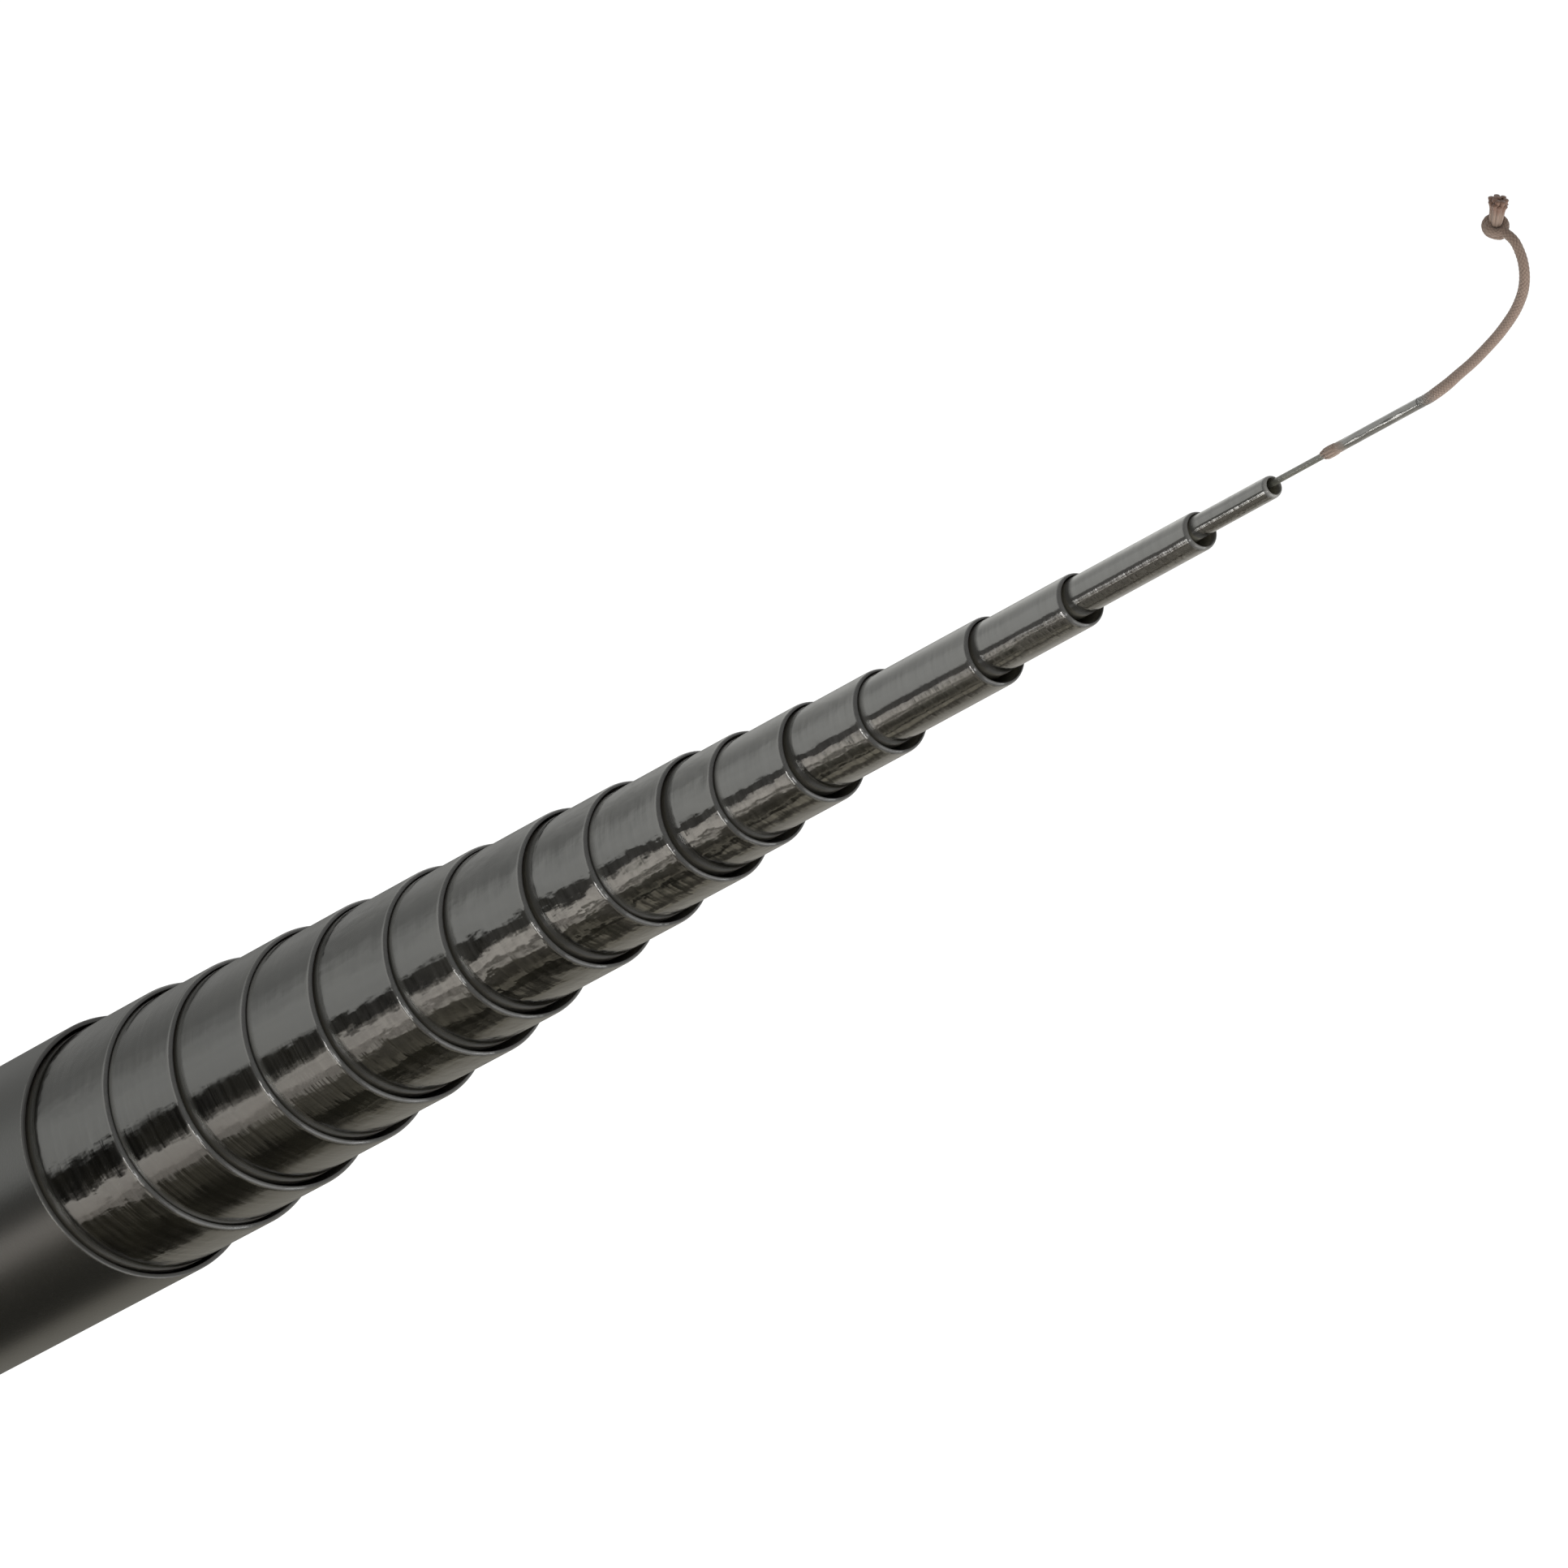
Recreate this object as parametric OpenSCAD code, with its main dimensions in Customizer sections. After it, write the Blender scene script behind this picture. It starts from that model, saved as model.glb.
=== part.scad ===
// Telescopic pole for fishing without a reel: a tapered butt tube, sixteen tapered tubes
// nested inside it, a solid tip with a glued cord for the line, and a screw cap.
// The pole stands on its butt cap, closed, with the tip up. Lengths are in millimetres.

/* [Pole] */
// Outside diameter of the butt tube at its mouth
butt_od = 34; // [30:0.5:40]
// Length of the butt tube
butt_len = 480; // [420:5:620]
// Diameter of the solid tip at its thin end
tip_od = 0.7; // [0.4:0.05:1.2]
// Bare tip that shows between the last tube's mouth and the cord's sleeve
tip_show = 9.5; // [5:0.5:20]

/* [Walls and fits] */
// Wall of the butt tube
butt_wall = 0.6; // [0.45:0.05:0.9]
// Wall of the thinnest tube, the one that holds the tip
last_wall = 0.3; // [0.2:0.02:0.4]
// Radial clearance left where a section jams when it is drawn right out
fit_clear = 0.03; // [0.02:0.01:0.06]
// Length of section 2 that stays inside the butt tube when drawn out
butt_overlap = 60; // [40:5:90]
// Length of the tip that stays inside the last tube when drawn out
tip_overlap = 30; // [20:5:50]
// Share of its side play by which each closed section leans in the mouth around it
lean_share = 0.75; // [0:0.05:0.85]
// Chamfer on the outer edge of each mouth
mouth_chamfer = 0.1; // [0.05:0.01:0.15]

/* [Grip] */
// Length of the parallel grip above the cap
grip_len = 180; // [120:10:260]
// Length of the cone between the grip and the slim part of the butt tube
grip_fade = 40; // [20:5:80]
// Wall of the grip around the threaded ring
grip_wall = 0.8; // [0.6:0.1:2]

/* [Threaded ring] */
// Length of the threaded ring bonded into the butt tube
ring_len = 16; // [12:1:30]
// Wall of the threaded ring
ring_wall = 0.7; // [0.6:0.1:2]
// Radial room between the ring's bore and the tube's bore above it
ring_room = 0.07; // [0.05:0.01:0.3]
// Gap filled with glue around a bonded piece
glue_gap = 0.02; // [0.01:0.01:0.05]
// Pitch of the screw thread
thread_pitch = 2; // [1.5:0.25:3]
// Depth of the thread's grooves in the ring and in the spigot
thread_depth = 0.4; // [0.2:0.05:0.5]
// Flat left on the thread between two grooves
thread_land = 0.6; // [0.3:0.1:1]

/* [Butt cap] */
// Height of the cap's knurled flange
flange_h = 9; // [6:0.5:14]
// Chamfer on the edges of the flange and the spigot
edge_chamfer = 0.3; // [0.1:0.1:0.4]
// Radius by which the flange stays inside the grip
flange_shy = 0.2; // [0.1:0.1:0.6]
// Length of the threaded spigot
spigot_len = 12; // [8:0.5:16]
// Wall of the hollow spigot
spigot_wall = 2.2; // [1.8:0.1:4]
// Radial clearance of the screw thread
thread_clear = 0.08; // [0.05:0.01:0.2]
// Number of grooves round the knurled flange
knurl_count = 48; // [24:4:72]
// Radius of one knurl groove
knurl_r = 0.6; // [0.3:0.1:0.9]
// Plain edge left above and below the knurl
knurl_edge = 1.5; // [1:0.25:2.5]
// Width of the coin slot
slot_w = 2.4; // [1.5:0.1:4]
// Length of the coin slot
slot_len = 20; // [12:1:22]
// Depth of the coin slot
slot_depth = 2; // [1:0.25:3]
// Diameter of the vent hole through the cap and the pad
vent_d = 3; // [2:0.5:5]

/* [Soft pieces] */
// Thickness of the sealing ring
o_ring_d = 1; // [0.8:0.1:1.6]
// Free room around the sealing ring in its groove
o_ring_room = 0.03; // [0.02:0.01:0.05]
// Plain spigot left between the flange and the sealing ring's groove
o_ring_edge = 0.6; // [0.4:0.1:1.5]
// Thickness of the shock pad under the sections
pad_h = 2.5; // [1.5:0.5:5]
// Depth of the pad's plug in the hollow spigot
pad_plug = 3; // [2:0.5:6]
// Radial room around the pad and its plug
pad_room = 0.2; // [0.1:0.05:0.4]
// Thickness of the rubber foot ring
foot_h = 2.5; // [1.5:0.25:4]
// Height by which the foot ring stands out of the cap
foot_proud = 1; // [0.5:0.25:1.25]
// Width of the foot ring
foot_w = 4.6; // [3:0.2:5]
// Metal left outside the foot ring
foot_lip = 1.2; // [0.8:0.1:2]

/* [Tip cord] */
// Wall of the lacquered sleeve glued over the tip
sleeve_wall = 0.24; // [0.15:0.01:0.5]
// Length of the lacquered sleeve
sleeve_len = 17; // [12:0.5:30]
// Length of the tip inside the sleeve
tip_glued = 12; // [8:0.5:12]
// Diameter of the free cord
cord_od = 1.2; // [0.8:0.1:1.4]
// Diameter of the stopper knot
knot_d = 3.1; // [2.6:0.1:4]
// Length of the cut end beyond the knot's middle
tail_len = 3.7; // [2.5:0.1:5]
// Diameter of the cut end where it spreads
tail_od = 2; // [1.4:0.1:2.4]

/* [Hidden] */
// Distance that each tube's mouth stands past the one around it, from section 2 on
stick_out = [
    17.3, 13.9, 15, 13.9, 15.1, 11, 15.8, 12.3, 14.3, 9.3, 13.4, 13.7, 21.1, 16.8, 22.7, 13.9
];
// Way in which each section leans, as an angle from -X towards the front, from section 2 on
lean_turn = [-85, 80, -30, 50, -30, 25, -10, -55, 60, -50, 50, -35, 40, -20, -30, 15, -50];
// Route of the free cord from the sleeve's end, standing up and then bending over
cord_route = [
    [0, 0, 0], [0, 0, 1.5], [-0.15, 0, 3.4], [-0.35, 0, 5.2], [-0.65, 0, 7.1], [-1.1, 0, 10.1],
    [-1.75, 0, 13.2], [-2.45, 0, 16], [-3.45, 0, 19], [-4.35, 0, 20.9], [-5.35, 0, 22.4],
    [-6.65, 0, 23.6], [-8.15, 0, 24.4], [-9.75, 0, 24.7], [-10.75, 0, 24.5], [-11.55, 0, 24]
];
// Direction in which the cut end leaves the knot, as an angle from upright about Y
tail_turn = -43;
cord_sides = 8;
$fn = 96;
// Small overrun of a cutting shape past the face that it opens
cut = 0.5;

last_tube = len(stick_out) + 1;
tip = last_tube + 1;

function sum(list, i = 0) = i < len(list) ? list[i] + sum(list, i + 1) : 0;
function share(n) = (n - 2) / (tip - 2);
function mix(a, b, t) = a + (b - a) * t;
function name_of(n) = str("section_", n < 10 ? "0" : "", n);

// Heights from the foot ring up to the seat of all the sections
cap_z = foot_proud;
butt_z = cap_z + flange_h;
pad_z = butt_z + spigot_len;
seat_z = pad_z + pad_h;
sleeve_z = mouth_z(last_tube) + tip_show;
cord_z = sleeve_z + sleeve_len;

// Section n counts from the butt tube, 1, to the tip. Its walls and fits follow from its place
function mouth_z(n) =
    n == 1 ? butt_z + butt_len
    : n == tip ? sleeve_z + tip_glued
    : mouth_z(n - 1) + stick_out[n - 2];
function wall(n) = mix(butt_wall, last_wall, (n - 1) / (last_tube - 1));
function overlap(n) = mix(butt_overlap, tip_overlap, share(n));
function shown(n) = mouth_z(n) - seat_z - overlap(n);
function travel(n) = mouth_z(n - 1) - seat_z - overlap(n);

// One slope of the walls makes every section jam in the mouth around it when drawn out
wall_total = sum([for (n = [1 : last_tube]) wall(n) + fit_clear]);
shown_total = sum([for (n = [2 : tip]) shown(n)]);
slope = (butt_od / 2 - tip_od / 2 - wall_total) / shown_total;
function mouth_r(n) =
    n == 1 ? butt_od / 2
    : mouth_r(n - 1) - wall(n - 1) - fit_clear - slope * shown(n);
function outer_r(n, z) = mouth_r(n) + slope * (mouth_z(n) - z);
function bore_r(n, z) = outer_r(n, z) - wall(n);
function play(n) = fit_clear + slope * travel(n);
function lean(n) = lean_share * play(n);
function lean_step(n) = -lean(n) * [cos(lean_turn[n - 2]), sin(lean_turn[n - 2]), 0];
function lean_at(n) = n == 1 ? [0, 0, 0] : lean_at(n - 1) + lean_step(n);

// Radii of the butt end, from the tube's bore outwards and inwards
ring_bore_r = bore_r(1, butt_z) + ring_room;
ring_r = ring_bore_r + ring_wall;
grip_r = ring_r + glue_gap + grip_wall;
flange_r = grip_r - flange_shy;
spigot_r = ring_bore_r - thread_clear;
cup_r = spigot_r - spigot_wall;
foot_r = flange_r - foot_lip;
o_ring_mid = spigot_r - o_ring_d / 2 + o_ring_room;
o_ring_z = butt_z + o_ring_edge + o_ring_d / 2 + o_ring_room;
groove_half = o_ring_d / 2 + o_ring_room;
thread_z = o_ring_z + groove_half + o_ring_edge;

// Travel and lean of each sliding section, from section 2 to the tip
echo(travel = [for (n = [2 : tip]) travel(n)]);
echo(lean_x = [for (n = [2 : tip]) lean_step(n)[0]]);
echo(lean_y = [for (n = [2 : tip]) lean_step(n)[1]]);
echo(mouth_r = [for (n = [1 : tip]) mouth_r(n)]);
echo(slope = slope, grip_r = grip_r, foot_r = foot_r, butt_z = butt_z, cord_z = cord_z);

// A plain ring between two radii
module ring(r_out, r_in, z0, z1) {
    translate([0, 0, z0])
        difference() {
            cylinder(h = z1 - z0, r = r_out);
            translate([0, 0, -cut]) cylinder(h = z1 - z0 + 2 * cut, r = r_in);
        }
}

// The butt tube: slim at the mouth, a parallel grip at the foot, counterbored for the ring
module butt_tube() {
    grip_top = butt_z + grip_len;
    fade_top = grip_top + grip_fade;
    mouth = mouth_z(1);
    ring_top = butt_z + ring_len;
    color("#3b3b39")
        rotate_extrude()
            polygon([
                [ring_r + glue_gap, butt_z],
                [grip_r, butt_z],
                [grip_r, grip_top],
                [outer_r(1, fade_top), fade_top],
                [outer_r(1, mouth), mouth - mouth_chamfer],
                [outer_r(1, mouth) - mouth_chamfer, mouth],
                [bore_r(1, mouth), mouth],
                [bore_r(1, ring_top), ring_top],
                [ring_r + glue_gap, ring_top]
            ]);
}

// Grooves round a wall of radius r, each in a plane of its own, which stand for the screw
// thread: they go into the wall, outwards for a bore and inwards for a spigot
module thread_grooves(r, z0, z1, outwards) {
    half = (thread_pitch - thread_land) / 2;
    side = outwards ? 1 : -1;
    for (z = [z0 + thread_pitch / 2 : thread_pitch : z1 - half])
        translate([0, 0, z])
            rotate_extrude()
                polygon([
                    [r + side * thread_depth, 0],
                    [r, half],
                    [r - side * cut, half],
                    [r - side * cut, -half],
                    [r, -half]
                ]);
}

// Internal ring that carries the cap's thread, wide enough for section 2 to pass
module thread_ring() {
    ring_top = butt_z + ring_len;
    color("#8b8f92")
        difference() {
            ring(ring_r, ring_bore_r, butt_z, ring_top);
            thread_grooves(ring_bore_r, thread_z, ring_top, true);
        }
}

// Screw cap with a hollow threaded spigot, a knurled flange, a coin slot and a vent
module butt_cap() {
    knurl_h = flange_h - 2 * knurl_edge;
    floor_z = butt_z;
    color("#2e3033")
        difference() {
            rotate_extrude()
                polygon([
                    [0, cap_z],
                    [flange_r - edge_chamfer, cap_z],
                    [flange_r, cap_z + edge_chamfer],
                    [flange_r, butt_z - edge_chamfer],
                    [flange_r - edge_chamfer, butt_z],
                    [spigot_r, butt_z],
                    [spigot_r, pad_z - edge_chamfer],
                    [spigot_r - edge_chamfer, pad_z],
                    [0, pad_z]
                ]);
            thread_grooves(spigot_r, thread_z, pad_z - edge_chamfer, false);
            translate([0, 0, floor_z]) cylinder(h = spigot_len + cut, r = cup_r);
            translate([0, 0, cap_z - cut]) cylinder(h = flange_h + 2 * cut, d = vent_d);
            ring(foot_r + glue_gap, foot_r - foot_w - glue_gap, cap_z - cut, foot_h);
            ring(spigot_r + cut, o_ring_mid - groove_half, o_ring_z - groove_half, o_ring_z + groove_half);
            translate([-slot_len / 2, -slot_w / 2, cap_z - cut])
                cube([slot_len, slot_w, slot_depth + cut]);
            for (i = [0 : knurl_count - 1])
                rotate([0, 0, i * 360 / knurl_count])
                    translate([flange_r, 0, cap_z + knurl_edge])
                        cylinder(h = knurl_h, r = knurl_r, $fn = 24);
        }
}

// Rubber ring that seals the screwed joint against water
module cap_o_ring() {
    color("#161616")
        translate([0, 0, o_ring_z])
            rotate_extrude()
                translate([o_ring_mid, 0]) circle(d = o_ring_d, $fn = 32);
}

// Rubber ring let into the cap's underside, on which the pole stands
module cap_foot() {
    color("#1b1b1b") ring(foot_r, foot_r - foot_w, 0, foot_h);
}

// Foam pad on the spigot that takes the knock of the sections, with a plug that centres it
module shock_pad() {
    color("#4a4a4c")
        difference() {
            union() {
                translate([0, 0, pad_z]) cylinder(h = pad_h, r = spigot_r - pad_room);
                translate([0, 0, pad_z - pad_plug]) cylinder(h = pad_plug, r = cup_r - pad_room);
            }
            translate([0, 0, pad_z - pad_plug - cut])
                cylinder(h = pad_h + pad_plug + 2 * cut, d = vent_d);
        }
}

// One of the nested tubes, standing on the pad and leaning in the mouth around it
module tube_section(n) {
    mouth = mouth_z(n);
    color("#26241f")
        translate(lean_at(n))
            rotate_extrude()
                polygon([
                    [bore_r(n, seat_z), seat_z],
                    [outer_r(n, seat_z), seat_z],
                    [mouth_r(n), mouth - mouth_chamfer],
                    [mouth_r(n) - mouth_chamfer, mouth],
                    [bore_r(n, mouth), mouth]
                ]);
}

// The solid tip, whose thin end is glued into the cord's sleeve
module tip_section() {
    color("#3a3631")
        translate(lean_at(tip))
            rotate_extrude()
                polygon([
                    [0, seat_z],
                    [outer_r(tip, seat_z), seat_z],
                    [mouth_r(tip), mouth_z(tip)],
                    [0, mouth_z(tip)]
                ]);
}

// Lacquered part of the cord, slipped over the tip and glued
module lillian_sleeve() {
    bore = outer_r(tip, sleeve_z) + glue_gap;
    color("#77746e")
        translate(lean_at(tip) + [0, 0, sleeve_z])
            difference() {
                cylinder(h = sleeve_len, r = bore + sleeve_wall);
                translate([0, 0, -cut]) cylinder(h = tip_glued + glue_gap + cut, r = bore);
            }
}

// Direction of the cord at each of its points
function unit(v) = v / norm(v);
function heading(i) =
    i == 0 ? unit(cord_route[1] - cord_route[0])
    : i == len(cord_route) - 1 ? unit(cord_route[i] - cord_route[i - 1])
    : unit(cord_route[i + 1] - cord_route[i - 1]);
function cord_ring(i) =
    let (along = heading(i), side = unit(cross(along, [0, 1, 0])), up = cross(side, along))
    [for (k = [0 : cord_sides - 1])
        let (a = k * 360 / cord_sides)
        cord_route[i] + cord_od / 2 * (cos(a) * side + sin(a) * up)];
function wall_faces(i) =
    [for (k = [0 : cord_sides - 1])
        let (a = i * cord_sides + k, b = i * cord_sides + (k + 1) % cord_sides)
        each [[a, b, a + cord_sides], [b, b + cord_sides, a + cord_sides]]];
function end_faces(first, turn) =
    [for (k = [1 : cord_sides - 2])
        turn ? [first, first + k + 1, first + k] : [first, first + k, first + k + 1]];

// The free cord, a tube along its route
module lillian_cord() {
    last = len(cord_route) - 1;
    color("#8a7358")
        translate(lean_at(tip) + [0, 0, cord_z])
            polyhedron(
                points = [for (i = [0 : last]) each cord_ring(i)],
                faces = concat(
                    end_faces(0, true),
                    [for (i = [0 : last - 1]) each wall_faces(i)],
                    end_faces(last * cord_sides, false)
                )
            );
}

// Stopper knot that keeps the line's loop from slipping off, with its spread cut end
module lillian_knot() {
    last = len(cord_route) - 1;
    along = heading(last);
    turn = atan2(along[0], along[2]);
    knot_r = knot_d / 2;
    // The ball is cut flat where the cord enters it, a little wider than the cord
    depth = sqrt(knot_r * knot_r - pow(cord_od / 2 + cut / 5, 2));
    color("#8a7358")
        translate(lean_at(tip) + [0, 0, cord_z] + cord_route[last])
            rotate([0, turn, 0])
                difference() {
                    translate([0, 0, depth])
                        union() {
                            sphere(d = knot_d, $fn = 48);
                            rotate([0, tail_turn - turn, 0])
                                cylinder(h = tail_len, d1 = cord_od, d2 = tail_od, $fn = 32);
                        }
                    translate([0, 0, -knot_d]) cylinder(h = knot_d, d = knot_d);
                }
}

butt_tube();
thread_ring();
butt_cap();
cap_o_ring();
cap_foot();
shock_pad();
for (n = [2 : last_tube])
    tube_section(n);
tip_section();
lillian_sleeve();
lillian_cord();
lillian_knot();
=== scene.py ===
"""Telescopic pole for fishing without a reel, closed, standing on its butt cap with the tip up.

Sixteen lacquered tubes and a solid tip nest in a matt butt tube. A braided cord is glued on the tip.
"""
import math

import bmesh
import bpy
from mathutils import Matrix, Vector
from mathutils.geometry import interpolate_bezier


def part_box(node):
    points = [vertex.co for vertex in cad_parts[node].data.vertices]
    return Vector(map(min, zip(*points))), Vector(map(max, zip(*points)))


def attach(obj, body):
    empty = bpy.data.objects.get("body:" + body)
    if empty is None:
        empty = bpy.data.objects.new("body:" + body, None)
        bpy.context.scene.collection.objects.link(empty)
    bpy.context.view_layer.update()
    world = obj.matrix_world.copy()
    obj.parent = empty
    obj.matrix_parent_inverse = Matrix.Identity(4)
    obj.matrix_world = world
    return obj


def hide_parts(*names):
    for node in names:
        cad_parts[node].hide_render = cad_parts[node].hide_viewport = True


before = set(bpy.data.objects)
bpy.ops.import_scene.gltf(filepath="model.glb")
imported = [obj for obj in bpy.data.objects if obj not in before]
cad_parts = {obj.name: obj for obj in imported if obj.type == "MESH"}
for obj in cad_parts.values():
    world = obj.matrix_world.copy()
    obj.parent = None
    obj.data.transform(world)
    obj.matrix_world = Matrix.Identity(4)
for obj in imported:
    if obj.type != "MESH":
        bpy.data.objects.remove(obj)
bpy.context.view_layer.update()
MM = 0.001

# The camera has a long lens, looks down on the standing pole from the front, and is rolled so
# that the pole climbs to the right through the square picture.
look_down = math.radians(50)
pole_climb = math.radians(28.5)
aim = Vector((-1.3, 0, 632.2)) * MM
camera_distance = 1.4906
camera = bpy.data.objects.new("camera", bpy.data.cameras.new("camera"))
camera.data.sensor_width = 36
camera.data.lens = 297.2
camera.data.clip_end = 1000
towards_camera = Vector((0, -math.cos(look_down), math.sin(look_down)))
camera.matrix_world = (
    Matrix.Translation(aim + towards_camera * camera_distance)
    @ Matrix.Rotation(math.pi / 2 - look_down, 4, "X")
    @ Matrix.Rotation(math.pi / 2 - pole_climb, 4, "Z")
)
bpy.context.scene.collection.objects.link(camera)
bpy.context.scene.camera = camera
bpy.context.scene.view_settings.view_transform = "Standard"

# The tip cord is a braid of sixteen tan yarns, 1.15 mm thick. It comes out of the lacquered sleeve
# upright, keeps the bend that it was stored in, and runs into its stopper knot.
cord_diameter = 1.15 * MM
yarns_each_way = 8
yarn_step = 0.5 * MM
yarn_relief = 0.07 * MM
mean_ridge = 0.6
plain_ridge = 0.9
cord_ring_gap = 0.06 * MM
sleeve_low, sleeve_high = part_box("lillian_sleeve")
cord_exit = (sleeve_low + sleeve_high) / 2
cord_exit.z = sleeve_high.z
cord_route = [
    (0, 0, 0), (0, 0, 1.5), (-0.15, 0, 3.4), (-0.35, 0, 5.2), (-0.65, 0, 7.1), (-1.1, 0, 10.1),
    (-1.75, 0, 13.2), (-2.45, 0, 16), (-3.45, 0, 19), (-4.35, 0, 20.9), (-5.35, 0, 22.4),
    (-6.65, 0, 23.6), (-8.15, 0, 24.4), (-9.75, 0, 24.7), (-10.75, 0, 24.5), (-11.55, 0, 24),
]


class Wire:
    """A socket in a node tree. Arithmetic on wires adds Math nodes to their tree."""

    def __init__(self, tree, socket=None):
        self.tree = tree
        self.socket = socket

    def node(self, kind, settings=None, sockets=None, out=0):
        """Add a node, make its settings, then set or link its sockets, and give one output."""
        made = self.tree.nodes.new(kind)
        for name, value in (settings or {}).items():
            if name == "stops":
                for place, _ in value[1:-1]:
                    made.color_ramp.elements.new(place)
                for stop, (_, colour) in zip(made.color_ramp.elements, value):
                    stop.color = (*colour, 1)
            else:
                setattr(made, name, value)
        for name, value in (sockets or {}).items():
            if isinstance(value, Wire):
                self.tree.links.new(value.socket, made.inputs[name])
            else:
                made.inputs[name].default_value = value
        return Wire(self.tree, made.outputs[out] if made.outputs else None)

    def math(self, operation, *others):
        return self.node("ShaderNodeMath", {"operation": operation}, dict(enumerate((self, *others))))

    def __add__(self, other):
        return self.math("ADD", other)

    def __sub__(self, other):
        return self.math("SUBTRACT", other)

    def __rsub__(self, other):
        return self.math("MULTIPLY_ADD", -1, other)

    def __mul__(self, other):
        return self.math("MULTIPLY", other)

    def __truediv__(self, other):
        return self.math("DIVIDE", other)

    def __pow__(self, other):
        return self.math("POWER", other)

    def __abs__(self):
        return self.math("ABSOLUTE")

    __radd__ = __add__
    __rmul__ = __mul__

    def between(self, low, high):
        """0 at low, 1 at high, and straight in between."""
        return self.node("ShaderNodeMapRange", None, {"Value": self, "From Min": low, "From Max": high})

    def attribute(self, name):
        """The value that a mesh carries under a name."""
        return self.node("ShaderNodeAttribute", {"attribute_name": name}, out="Fac")

    def colour(self, at_zero, at_one):
        """A colour from at_zero to at_one, each a colour wire or (red, green, blue)."""
        ends = [end if isinstance(end, Wire) else (*end, 1) for end in (at_zero, at_one)]
        return self.node("ShaderNodeMix", {"data_type": "RGBA"}, {0: self, 6: ends[0], 7: ends[1]}, 2)

    def noise(self, place, size, detail=2.0):
        """Soft noise from 0 to 1 whose lumps are about a size across."""
        sockets = {"Vector": place, "Scale": 1 / size, "Detail": detail}
        return self.node("ShaderNodeTexNoise", None, sockets)

    def stretched(self, place, factors):
        """A place stretched by a factor along each axis, for grain that runs one way."""
        sockets = {0: place, 1: factors}
        return self.node("ShaderNodeVectorMath", {"operation": "MULTIPLY"}, sockets)


def new_finish(name):
    """An empty material, a wire to make its nodes with, and the place of each surface point."""
    material = bpy.data.materials.new(name)
    material.use_nodes = True
    material.node_tree.nodes.clear()
    start = Wire(material.node_tree)
    return material, start, start.node("ShaderNodeTexCoord", out="Object")


def close_finish(start, height, principled):
    """Close a material with a bump of the given height in millimetres."""
    bump = start.node("ShaderNodeBump", None, {"Height": height, "Distance": MM})
    shader = start.node("ShaderNodeBsdfPrincipled", None, {"Normal": bump, **principled})
    start.node("ShaderNodeOutputMaterial", None, {"Surface": shader})


def braid_finish():
    """Tan yarn with painted shade in its gaps, singed where it was cut, grey and glossy where lacquer soaked
    in.
    """
    material, start, place = new_finish("tan_braid")
    ridge = start.attribute("ridge")
    singed = start.attribute("singed")
    ragged = start.noise(place, 0.6 * MM)
    soaked = (start.attribute("soaked") + ragged * 0.8).between(0.6, 1.2)
    fibre = start.noise(start.stretched(place, (1, 1, 0.3)), 0.06 * MM)
    yarn = start.noise(place, 4 * MM).colour((0.25, 0.177, 0.135), (0.36, 0.262, 0.205))
    # Painted shade: the colour darkens where the yarns are low, in the gaps between them where shade falls.
    edge_and_gap_tone = (ridge * 0.75 + fibre * 0.5).between(0.1, 1.1).colour((0.07, 0.045, 0.033), yarn)
    burnt = singed.colour(edge_and_gap_tone, (0.17, 0.092, 0.06))
    lacquer = start.noise(place, 1.2 * MM).colour((0.035, 0.035, 0.03), (0.085, 0.083, 0.074))
    drips = start.noise(start.stretched(place, (1, 1, 0.25)), 0.9 * MM, 1.0)
    close_finish(start, fibre * 0.02 * (1 - soaked) + drips * 0.17 * soaked, {
        "Base Color": soaked.colour(burnt, lacquer),
        "Roughness": 0.85 - singed * 0.25 - soaked * 0.7,
        "Sheen Weight": 0.2,
    })
    return material


def smooth_path(points, gap):
    """Points a gap apart on a smooth curve through the given points."""
    steps = 40
    ends = [points[0] * 2 - points[1], *points, points[-1] * 2 - points[-2]]
    fine = []
    for before, a, b, after in zip(ends, ends[1:], ends[2:], ends[3:]):
        fine += interpolate_bezier(a, a + (b - before) / 6, b - (after - a) / 6, b, steps)[:-1]
    fine.append(points[-1])
    reach = [0.0]
    for a, b in zip(fine, fine[1:]):
        reach.append(reach[-1] + (b - a).length)
    count = round(reach[-1] / gap)
    path = []
    i = 0
    for k in range(count):
        goal = reach[-1] * k / count
        while reach[i + 1] < goal:
            i += 1
        path.append(fine[i].lerp(fine[i + 1], (goal - reach[i]) / (reach[i + 1] - reach[i])))
    return [*path, fine[-1]]


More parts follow.
